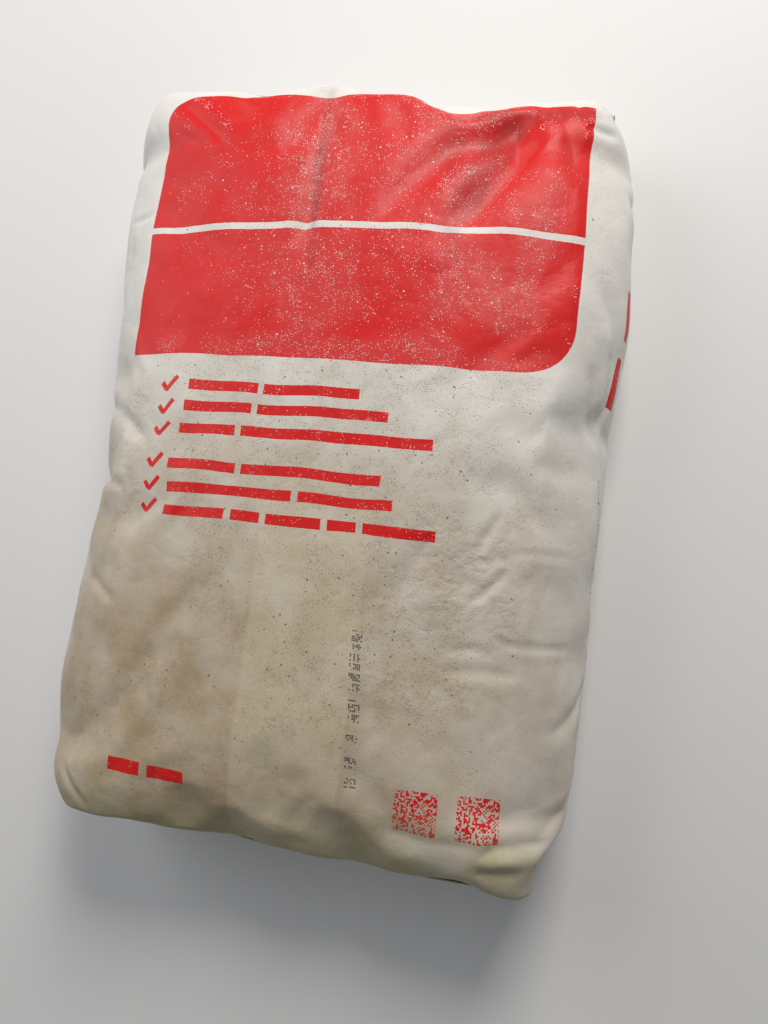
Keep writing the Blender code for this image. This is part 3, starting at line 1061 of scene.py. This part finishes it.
def printed_box_group():
    """Ink in a box with rounded corners, which may lean or turn."""
    tree, given, result = new_group("printed_box", {
        "Place": PLACE, "Centre": PLACE, "Half Size": HALF_SIZE, "Corner": ("Float", 0.0),
        "Turn": ("Float", 0.0), "Edge": ("Float", 0.00025),
    }, ["Mask"])
    turned = add_node(tree, "ShaderNodeVectorRotate", {
        "Vector": given["Place"], "Center": given["Centre"], "Angle": given["Turn"],
    }, rotation_type="Z_AXIS").outputs[0]
    away = vector_calc(tree, "ABSOLUTE", vector_calc(tree, "SUBTRACT", turned, given["Centre"]))
    over = vector_calc(tree, "SUBTRACT", away, given["Half Size"])
    corner = joined(tree, given["Corner"], given["Corner"])
    parts = split(tree, vector_calc(tree, "ADD", over, corner))
    clear = joined(tree, calc(tree, "MAXIMUM", parts["X"], 0.0), calc(tree, "MAXIMUM", parts["Y"], 0.0))
    inside = calc(tree, "MINIMUM", calc(tree, "MAXIMUM", parts["X"], parts["Y"]), 0.0)
    reach = calc(tree, "ADD", vector_calc(tree, "LENGTH", clear), inside)
    share = calc(tree, "DIVIDE", calc(tree, "SUBTRACT", reach, given["Corner"]), given["Edge"])
    tree.links.new(ramp(tree, share, 1.0, -1.0), result["Mask"])
    return tree


def plain_bar_group():
    """Ink in an upright bar with square corners."""
    inputs = {"Place": PLACE, "Centre": PLACE, "Half Size": HALF_SIZE}
    tree, given, result = new_group("plain_bar", inputs, ["Mask"])
    away = vector_calc(tree, "ABSOLUTE", vector_calc(tree, "SUBTRACT", given["Place"], given["Centre"]))
    parts = split(tree, vector_calc(tree, "SUBTRACT", away, given["Half Size"]))
    reach = calc(tree, "MAXIMUM", parts["X"], parts["Y"])
    tree.links.new(calc(tree, "LESS_THAN", reach, 0.0), result["Mask"])
    return tree


def code_square_group():
    """A square field of small random cells, as plain printed chequers."""
    tree, given, result = new_group("code_square", {
        "Place": PLACE, "Centre": PLACE, "Half Size": ("Float", 0.014), "Cells": ("Float", 25.0),
        "Filled": ("Float", 0.5),
    }, ["Mask"])
    offset = vector_calc(tree, "SUBTRACT", given["Place"], given["Centre"])
    size = calc(tree, "DIVIDE", times(tree, given["Half Size"], 2.0), given["Cells"])
    number = vector_calc(tree, "FLOOR", vector_calc(tree, "DIVIDE", offset, joined(tree, size, size, 1.0)))
    parts = split(tree, vector_calc(tree, "ABSOLUTE", offset))
    within = calc(tree, "LESS_THAN", calc(tree, "MAXIMUM", parts["X"], parts["Y"]), given["Half Size"])
    filled = calc(tree, "LESS_THAN", chance_of(tree, number), given["Filled"])
    tree.links.new(times(tree, within, filled), result["Mask"])
    return tree


def paper_grain_group():
    """Fibres and fine creping of sack paper."""
    inputs = {"Place": PLACE, "Scale": ("Float", 1.0)}
    tree, given, result = new_group("paper_grain", inputs, ["Height", "Tone"])
    scaled = scaled_by(tree, given["Place"], given["Scale"])
    creping = noise_of(tree, vector_calc(tree, "MULTIPLY", scaled, (260, 1150, 500)), 1.0, 2.0, 0.6)
    fibres = noise_of(tree, vector_calc(tree, "MULTIPLY", scaled, (900, 420, 600)), 1.0, 3.0, 0.7)
    cloud = noise_of(tree, scaled, 22.0, 4.0, 0.6)
    height = calc(tree, "ADD", times(tree, creping, 0.6), times(tree, fibres, 0.4))
    tone = calc(tree, "ADD", times(tree, cloud, 0.7), times(tree, fibres, 0.3))
    tree.links.new(height, result["Height"])
    tree.links.new(tone, result["Tone"])
    return tree


def crinkle_group():
    """Fine sharp creases of handled paper."""
    tree, given, result = new_group("crinkle", {
        "Place": PLACE, "Size": ("Float", 0.02), "Wander": ("Float", 0.4),
    }, ["Height"])
    scaled = scaled_by(tree, given["Place"], calc(tree, "DIVIDE", 1.0, given["Size"]))
    drift = scaled_by(tree, drift_of(tree, scaled, 0.8, 2.0), given["Wander"])
    bent = vector_calc(tree, "ADD", scaled, drift)
    near, far = (cells_of(tree, bent, feature)["Distance"] for feature in ("F1", "F2"))
    facets = times(tree, calc(tree, "SUBTRACT", far, near), 0.55)
    soft = times(tree, noise_of(tree, bent, 1.7, 3.0, 0.55), 0.6)
    tree.links.new(calc(tree, "ADD", facets, soft), result["Height"])
    return tree


def specks_group():
    """Round specks, one at most in each cell, that gather where a region is strong."""
    tree, given, result = new_group("specks", {
        "Place": PLACE, "Cell": ("Float", 0.0014), "Size": ("Float", 0.0003), "Amount": ("Float", 0.3),
        "Region": ("Float", 1.0),
    }, ["Mask"])
    cell = cells_of(tree, scaled_by(tree, given["Place"], calc(tree, "DIVIDE", 1.0, given["Cell"])))
    chance = add_node(tree, "ShaderNodeSeparateColor", {"Color": cell["Color"]}).outputs
    clumps = ramp(tree, noise_of(tree, given["Place"], 85.0, 4.0, 0.72), 0.44, 0.66)
    gathered = calc(tree, "ADD", 0.12, times(tree, clumps, 1.5))
    wanted = times(tree, given["Amount"], times(tree, given["Region"], gathered))
    present = calc(tree, "LESS_THAN", chance["Red"], wanted)
    spread = calc(tree, "ADD", 0.55, times(tree, chance["Green"], 0.9))
    size = times(tree, calc(tree, "DIVIDE", given["Size"], given["Cell"]), spread)
    dot = ramp(tree, rest_of(tree, calc(tree, "DIVIDE", cell["Distance"], size)), 0.0, 0.35)
    tree.links.new(times(tree, dot, present), result["Mask"])
    return tree


BOX = printed_box_group()
CODE = code_square_group()
GRAIN = paper_grain_group()
CRINKLE = crinkle_group()
SPECKS = specks_group()
BAR = plain_bar_group()


def new_material(name):
    material = bpy.data.materials.new(name)
    material.use_nodes = True
    tree = material.node_tree
    return material, tree, tree.nodes["Principled BSDF"]


# The print, in metres on the paper: x across from the middle of the front, y along to the valve end
PANEL_LOW, PANEL_HIGH = (-0.1560, 0.0575), (0.1600, 0.2585)
PANEL_ROUND_TOP = 0.022
PANEL_ROUND_LOW = 0.036
PANEL_SQUARE = 0.0003
PANEL_BAND_Y = 0.1527
PANEL_BAND_HALF = (0.3, 0.0024)

# Ticks in two groups of three rows, which lean with the print
TICK_X = -0.1170
TICK_TOP = 0.0350
TICK_STEP = 0.0160
TICK_GROUP_STEP = 0.0550
TICK_LAST_ROW = 2.0
TICK_LEAN = 0.055
TICK_CORNER = 0.0004
SHORT_STROKE = ((-0.0034, -0.0014), (0.0034, 0.0017), 0.85)
LONG_STROKE = ((0.0022, 0.0004), (0.0062, 0.0017), -0.90)

# Plain bars in place of words: each row's y, and where its bars begin and end
WORD_ROWS = (
    (0.0350, ((-0.1010, -0.0480), (-0.0440, 0.0240))),
    (0.0205, ((-0.1025, -0.0505), (-0.0460, 0.0445))),
    (0.0045, ((-0.1040, -0.0610), (-0.0565, 0.0755))),
    (-0.0210, ((-0.1085, -0.0570), (-0.0525, 0.0450))),
    (-0.0372, ((-0.1075, -0.0140), (-0.0095, 0.0550))),
    (-0.0538, (
        (-0.1065, -0.0600), (-0.0550, -0.0340), (-0.0295, 0.0080), (0.0125, 0.0320), (0.0365, 0.0840),
    )),
)
WORD_HALF_HEIGHT = 0.0036

# Other blocks of print: middle and half size
WEIGHT_BLOCKS = (((-0.1085, -0.2283), (0.0125, 0.0044)), ((-0.0765, -0.2283), (0.0135, 0.0044)))
SIDE_BLOCKS = (
    ((0.2130, 0.1160), (0.0050, 0.0180)), ((0.2125, 0.0690), (0.0050, 0.0170)),
    ((-0.2130, 0.1400), (0.0060, 0.0420)),
)
CODE_PLACES = ((0.0905, -0.2240), (0.1297, -0.2222))
CODE_HALF = 0.0136

# The date, as runs of dots along a leaning line
DATE_RUNS = (
    (-0.1180, -0.1430), (-0.1450, -0.1560), (-0.1610, -0.1750), (-0.1820, -0.1870), (-0.1960, -0.2030),
    (-0.2090, -0.2150),
)
DATE_LINE = ((0.0417, -0.1180), (0.0490, -0.2150))
DATE_HALF = 0.0038
DATE_DOT = 0.00125
DATE_DOT_RADIUS = 0.46
DATE_ROWS = 5
DATE_FILLED = 0.60

# The thin rule with rungs down the right side
SIDE_RULE = ((0.2080, 0.0000), (0.2190, -0.1200))
SIDE_RULE_SWAY = 0.05
RUNG_COUNT = 8
RUNG_REACH = 0.0028
RULE_HALF = 0.0004

# The pale strip over the glued overlap, and the slight shake of a printed edge
STRIP_SIDES = (-0.0325, 0.0417)
STRIP_EDGE = 0.0014
STRIP_FADE = (0.005, -0.070)
SHAKE = 0.0004
SHAKE_SCALE = 420.0


def box_mask(tree, place, centre, half, corner=0.0, turn=0.0):
    return use_group(tree, BOX, {
        "Place": place, "Centre": (*centre, 0.0), "Half Size": (*half, 1.0), "Corner": corner, "Turn": turn,
    })["Mask"]


def bar_mask(tree, place, centre, half):
    return use_group(tree, BAR, {"Place": place, "Centre": (*centre, 0.0), "Half Size": (*half, 1.0)})["Mask"]


def panel_mask(tree, place):
    """The red panel: two of its corners are rounded, and a white band crosses it."""
    (left, low), (right, top) = PANEL_LOW, PANEL_HIGH
    centre, half = ((left + right) / 2, (low + top) / 2), ((right - left) / 2, (top - low) / 2)
    parts = split(tree, place)
    is_right = calc(tree, "GREATER_THAN", parts["X"], centre[0])
    is_top = calc(tree, "GREATER_THAN", parts["Y"], centre[1])
    top_left = times(tree, rest_of(tree, is_right), is_top, PANEL_ROUND_TOP)
    low_right = times(tree, is_right, rest_of(tree, is_top), PANEL_ROUND_LOW)
    corner = calc(tree, "MAXIMUM", calc(tree, "ADD", top_left, low_right), PANEL_SQUARE)
    band = bar_mask(tree, place, (centre[0], PANEL_BAND_Y), PANEL_BAND_HALF)
    return times(tree, box_mask(tree, place, centre, half, corner), rest_of(tree, band))


def folded_rows(tree, place):
    """The paper place brought into the first row of ticks, so that one tick prints them all."""
    parts = split(tree, place)
    down = calc(tree, "SUBTRACT", TICK_TOP, parts["Y"])
    second = calc(tree, "GREATER_THAN", down, TICK_GROUP_STEP - TICK_STEP / 2)
    within = calc(tree, "SUBTRACT", down, times(tree, second, TICK_GROUP_STEP))
    row = calc(tree, "ROUND", calc(tree, "DIVIDE", within, TICK_STEP))
    row = calc(tree, "MINIMUM", calc(tree, "MAXIMUM", row, 0.0), TICK_LAST_ROW)
    y = calc(tree, "SUBTRACT", within, times(tree, row, TICK_STEP))
    x = calc(tree, "ADD", parts["X"], times(tree, down, TICK_LEAN))
    return joined(tree, x, times(tree, y, -1.0))


def tick_mask(tree, place):
    local = folded_rows(tree, place)
    strokes = [
        box_mask(tree, local, (TICK_X + x, y), half, TICK_CORNER, turn)
        for (x, y), half, turn in (SHORT_STROKE, LONG_STROKE)
    ]
    return all_of(tree, "MAXIMUM", strokes)


def word_bars():
    for y, words in WORD_ROWS:
        for left, right in words:
            yield ((left + right) / 2, y), ((right - left) / 2, WORD_HALF_HEIGHT)


def red_mask(tree, place):
    masks = [panel_mask(tree, place), tick_mask(tree, place)]
    for centre, half in (*word_bars(), *WEIGHT_BLOCKS, *SIDE_BLOCKS):
        masks.append(bar_mask(tree, place, centre, half))
    for centre in CODE_PLACES:
        square = {"Place": place, "Centre": (*centre, 0.0), "Half Size": CODE_HALF}
        masks.append(use_group(tree, CODE, square)["Mask"])
    return all_of(tree, "MAXIMUM", masks)


def line_offset(tree, parts, line):
    """How far across a place lies from a line that runs along the sack."""
    (x1, y1), (x2, y2) = line
    inputs = {"Value": parts["Y"], "From Min": y1, "From Max": y2, "To Min": x1, "To Max": x2}
    on_line = add_node(tree, "ShaderNodeMapRange", inputs, clamp=False).outputs["Result"]
    return calc(tree, "SUBTRACT", parts["X"], on_line)


def date_mask(tree, place):
    """The inkjet date: runs of dots in a few rows, without letters or digits."""
    parts = split(tree, place)
    across = line_offset(tree, parts, DATE_LINE)
    cells = joined(tree, calc(tree, "DIVIDE", across, DATE_DOT), calc(tree, "DIVIDE", parts["Y"], DATE_DOT))
    number = vector_calc(tree, "FLOOR", cells)
    spot = vector_calc(tree, "SUBTRACT", vector_calc(tree, "FRACTION", cells), (0.5, 0.5, 0.0))
    dot = calc(tree, "LESS_THAN", vector_calc(tree, "LENGTH", spot), DATE_DOT_RADIUS)
    row = calc(tree, "FLOORED_MODULO", split(tree, number)["Y"], DATE_ROWS)
    inked = calc(tree, "LESS_THAN", row, DATE_ROWS - 1.5)
    filled = calc(tree, "LESS_THAN", chance_of(tree, number), DATE_FILLED)
    local = joined(tree, across, parts["Y"])
    runs = [bar_mask(tree, local, (0.0, (a + b) / 2), (DATE_HALF, (a - b) / 2)) for a, b in DATE_RUNS]
    return times(tree, dot, inked, filled, all_of(tree, "MAXIMUM", runs))


def side_rule_mask(tree, place):
    """The thin rule with rungs down the right side."""
    (x1, y1), (x2, y2) = SIDE_RULE
    parts = split(tree, place)
    spacing = (y1 - y2) / RUNG_COUNT
    rung = calc(tree, "PINGPONG", calc(tree, "SUBTRACT", parts["Y"], y2), spacing / 2)
    ladder = joined(tree, line_offset(tree, parts, SIDE_RULE), rung)
    rule = bar_mask(tree, ladder, (0.0, 0.0), (RULE_HALF, 1.0))
    rungs = bar_mask(tree, ladder, (0.0, 0.0), (RUNG_REACH, RULE_HALF))
    length = bar_mask(tree, place, ((x1 + x2) / 2, (y1 + y2) / 2), (SIDE_RULE_SWAY, (y1 - y2) / 2))
    return times(tree, calc(tree, "MAXIMUM", rule, rungs), length)


def seam_strip(tree, place):
    """The paler strip where the glued overlap of the inner plies shows through the paper."""
    parts = split(tree, place)
    left, right = STRIP_SIDES
    from_left = ramp(tree, parts["X"], left - STRIP_EDGE, left + STRIP_EDGE)
    to_right = ramp(tree, parts["X"], right + STRIP_EDGE, right - STRIP_EDGE)
    return times(tree, from_left, to_right, ramp(tree, parts["Y"], *STRIP_FADE))


def specks(tree, place, scatter, region):
    """One scatter of specks on the paper, moved aside so that it differs from the others."""
    aside, cell, size, amount = scatter
    return use_group(tree, SPECKS, {
        "Place": vector_calc(tree, "ADD", place, (aside, aside / 2, 0.0)), "Cell": cell, "Size": size,
        "Amount": amount, "Region": region,
    })["Mask"]


def layered_specks(tree, place, scatters, region):
    return all_of(tree, "MAXIMUM", [specks(tree, place, scatter, region) for scatter in scatters])


def paper_place(tree):
    """The place on the flat paper, as its UV map holds it."""
    return add_node(tree, "ShaderNodeUVMap", uv_map="paper").outputs["UV"]


def stored(tree, name):
    """A value that the paper's points hold."""
    return add_node(tree, "ShaderNodeAttribute", attribute_name=name).outputs["Fac"]


def crinkles(tree, place, size, wander):
    return use_group(tree, CRINKLE, {"Place": place, "Size": size, "Wander": wander})["Height"]


def emboss(tree, shader, height):
    bump = add_node(tree, "ShaderNodeBump", {"Height": height, "Strength": 1.0, "Distance": 1.0})
    tree.links.new(bump.outputs["Normal"], shader.inputs["Normal"])


def sack_print():
    """Coated white sack paper with its print, wear, building site dirt and painted shade."""
    material, tree, shader = new_material("printed_sack_paper")
    place = vector_calc(tree, "SUBTRACT", paper_place(tree), (0.5, 0.5, 0.0))
    grain = use_group(tree, GRAIN, {"Place": place, "Scale": 1.0})
    soil = {name: stored(tree, name) for name in SOILED_AREAS}
    ridge = stored(tree, "ridge")
    high = ramp(tree, ridge, 0.35, 0.9)
    deep = ramp(tree, ridge, -0.15, -0.9)
    blotch = ramp(tree, noise_of(tree, place, 24.0, 5.0, 0.7), 0.30, 0.75, 0.72, 1.0)

    paper = coat(tree, WHITE_PAPER, AGED_PAPER, ramp(tree, grain["Tone"], 0.38, 0.68, 0.0, 0.35))
    # Beige film, browner towards the bottom and the left edge: partly dust, partly painted shadow
    paper = coat(tree, paper, BEIGE_DUST_AND_SHADE, blotch, DUST_AND_SHADE_COVER, soil["dust_and_shade"])
    paper = coat(tree, paper, DAMP_BROWN, blotch, STAIN_COVER, soil["stain"])
    paper = coat(tree, paper, STRIP_CREAM, seam_strip(tree, place), STRIP_COVER)

    shake = scaled_by(tree, drift_of(tree, place, SHAKE_SCALE, 1.0), SHAKE)
    red = red_mask(tree, vector_calc(tree, "ADD", place, shake))
    worn = calc(tree, "MAXIMUM", high, times(tree, soil["grit"], 0.8))
    rubbed = specks(tree, place, RUBBED_SPECKS, worn)
    ink = coat(tree, RED_INK, DULL_RED, ramp(tree, grain["Tone"], 0.35, 0.70, 0.0, 0.22))
    colour = coat(tree, paper, ink, red, rest_of(tree, times(tree, rubbed, 0.8)))
    black = calc(tree, "MAXIMUM", date_mask(tree, place), side_rule_mask(tree, place))
    colour = coat(tree, colour, BLACK_INK, black, BLACK_COVER)

    dust_film = times(tree, calc(tree, "ADD", soil["dust"], times(tree, deep, 0.5)), DUST_FILM_COVER)
    dust = layered_specks(tree, place, DUST_SPECKS, soil["dust"])
    grit = layered_specks(tree, place, GRIT_SPECKS, soil["grit"])
    on_white = rest_of(tree, times(tree, red, 0.6))
    colour = coat(tree, colour, CEMENT_DUST, dust_film)
    # Dark smudges: partly grime, partly painted shade along the folds and in the hollow
    colour = coat(tree, colour, SMUDGE_AND_FOLD_SHADE, soil["smudge_and_fold_shade"], SMUDGE_AND_FOLD_SHADE_COVER)
    colour = coat(tree, colour, PALE_DUST, dust, DUST_COVER)
    colour = coat(tree, colour, CEMENT_GRIT, grit, on_white, GRIT_COVER)
    colour = coat(tree, colour, GRIME_GREEN, blotch, GRIME_COVER, soil["grime"])
    tree.links.new(colour, shader.inputs["Base Color"])
    shader.inputs["Specular IOR Level"].default_value = PAPER_SHINE

    soiled = all_of(tree, "MAXIMUM", [dust, grit, dust_film, times(tree, soil["grime"], 0.7)])
    clean = ramp(tree, grain["Tone"], 0.3, 0.7, 0.36, 0.50)
    polished = calc(tree, "SUBTRACT", clean, times(tree, soil["rumple"], 0.20))
    tree.links.new(calc(tree, "ADD", polished, times(tree, soiled, 0.35)), shader.inputs["Roughness"])

    crinkle = times(tree, crinkles(tree, place, CRINKLE_SIZE, 0.6), CRINKLE_HEIGHT)
    rumpled = times(tree, crinkles(tree, place, RUMPLE_SIZE, 0.9), soil["rumple"], RUMPLE_HEIGHT)
    fibres = times(tree, grain["Height"], GRAIN_HEIGHT)
    emboss(tree, shader, calc(tree, "ADD", fibres, calc(tree, "ADD", crinkle, rumpled)))
    return material


def plain_paper(name, colour, grain_scale, crinkle_size, dirt):
    """Unprinted paper of the ends and the sleeve, with clouds of dust and grit."""
    material, tree, shader = new_material(name)
    flat = paper_place(tree)
    grain = use_group(tree, GRAIN, {"Place": flat, "Scale": grain_scale})
    darker = tuple(value * 0.86 for value in colour[:3]) + (1,)
    paper = coat(tree, colour, darker, ramp(tree, grain["Tone"], 0.35, 0.7, 0.0, 0.6))
    cloud = ramp(tree, noise_of(tree, flat, 14.0, 4.0, 0.6), 0.45, 0.75)
    paper = coat(tree, paper, CEMENT_DUST, cloud, dirt)
    paper = coat(tree, paper, CEMENT_GRIT, specks(tree, flat, END_SPECKS, cloud), END_GRIT_COVER)
    tree.links.new(paper, shader.inputs["Base Color"])
    tree.links.new(ramp(tree, grain["Tone"], 0.3, 0.7, 0.58, 0.72), shader.inputs["Roughness"])
    crinkle = times(tree, crinkles(tree, flat, crinkle_size, 0.7), END_CRINKLE_HEIGHT)
    emboss(tree, shader, calc(tree, "ADD", times(tree, grain["Height"], END_GRAIN_HEIGHT), crinkle))
    return material


def studio_floor():
    material, _, shader = new_material("studio_floor")
    shader.inputs["Base Color"].default_value = STUDIO_FLOOR
    shader.inputs["Roughness"].default_value = 0.75
    return material


def build_sack():
    verts, quads, places = build_grid()
    item = add_mesh("sack_paper", verts, quads, places)
    settle(item, verts)
    item.vertex_groups.clear()
    refine(item)
    press_folds(item)
    fold_ends(item)
    mark_ridges(item)
    paint_soil(item)
    return item


def dress(item, material, body="root"):
    item.data.materials.clear()
    item.data.materials.append(material)
    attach(item, body)


sack = build_sack()
dress(sack, sack_print())
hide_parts("cement_sack")

felt = paper_tree(sack)
end_material = plain_paper("end_cover_paper", END_PAPER, 1.0, 0.026, 0.45)
for cover_name, cover_node, cover_sign in (
    ("valve_end_cover", "valve_end_patch", 1),
    ("base_end_cover", "base_end_patch", -1),
):
    cover = cover_paper(cover_name, felt, cover_sign)
    dress(cover, end_material)
    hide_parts(cover_node)

sleeve = filling_sleeve(felt)
dress(sleeve, plain_paper("sleeve_paper", SLEEVE_PAPER, 1.3, 0.018, 0.6))
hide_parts("valve_sleeve")


# The photo's camera: its focal length in pixels, the photo's height in pixels, its place and its turn
FOCAL_PIXELS = 746.2
PHOTO_HEIGHT_PIXELS = 1024
FILM_WIDTH = 36.0
CAMERA_PLACE = (0.1534, -0.0919, 0.5808)
CAMERA_RIGHT = Vector((0.97170, 0.12097, -0.20294))
CAMERA_UP = Vector((-0.09600, 0.98697, 0.12872))

# The studio: half the floor's side, the even light from all round, and the soft lights, each with its
# place, size, power and colour
FLOOR_HALF = 6
SKY_COLOUR = (0.92, 0.95, 1.0, 1)
SKY_STRENGTH = 0.20
LIT_POINT = Vector((0, 0, 0.05))
SOFT_LIGHTS = {
    "key_light": ((0.30, 1.12, 1.05), 0.60, 17.5, (1.0, 0.965, 0.92)),
    "fill_light": ((-1.2, 0.6, 1.0), 1.2, 9.0, (0.97, 0.98, 1.0)),
}


def photo_camera():
    data = bpy.data.cameras.new("camera")
    data.sensor_fit = "AUTO"
    data.sensor_width = FILM_WIDTH
    data.lens = FOCAL_PIXELS / PHOTO_HEIGHT_PIXELS * FILM_WIDTH
    item = add_object("camera", data)
    turn = Matrix((CAMERA_RIGHT, CAMERA_UP, CAMERA_RIGHT.cross(CAMERA_UP))).transposed()
    item.matrix_world = Matrix.Translation(CAMERA_PLACE) @ turn.to_4x4()
    bpy.context.scene.camera = item


def soft_light(name, place, size, power, colour):
    lamp = bpy.data.lights.new(name, "AREA")
    lamp.energy = power
    lamp.size = size
    lamp.color = colour
    item = add_object(name, lamp)
    item.location = place
    item.rotation_euler = (LIT_POINT - Vector(place)).to_track_quat("-Z", "Y").to_euler()


photo_camera()

floor_mesh = bpy.data.meshes.new("floor")
floor_corners = [(x * FLOOR_HALF, y * FLOOR_HALF, 0) for x, y in ((-1, -1), (1, -1), (1, 1), (-1, 1))]
floor_mesh.from_pydata(floor_corners, [], [(0, 1, 2, 3)])
floor = add_object("floor", floor_mesh)
floor_mesh.materials.append(studio_floor())

bpy.context.scene.view_settings.view_transform = "Standard"

world = bpy.data.worlds.new("studio")
bpy.context.scene.world = world
world.use_nodes = True
sky = world.node_tree.nodes["Background"].inputs
sky["Color"].default_value = SKY_COLOUR
sky["Strength"].default_value = SKY_STRENGTH

for light_name, light_settings in SOFT_LIGHTS.items():
    soft_light(light_name, *light_settings)
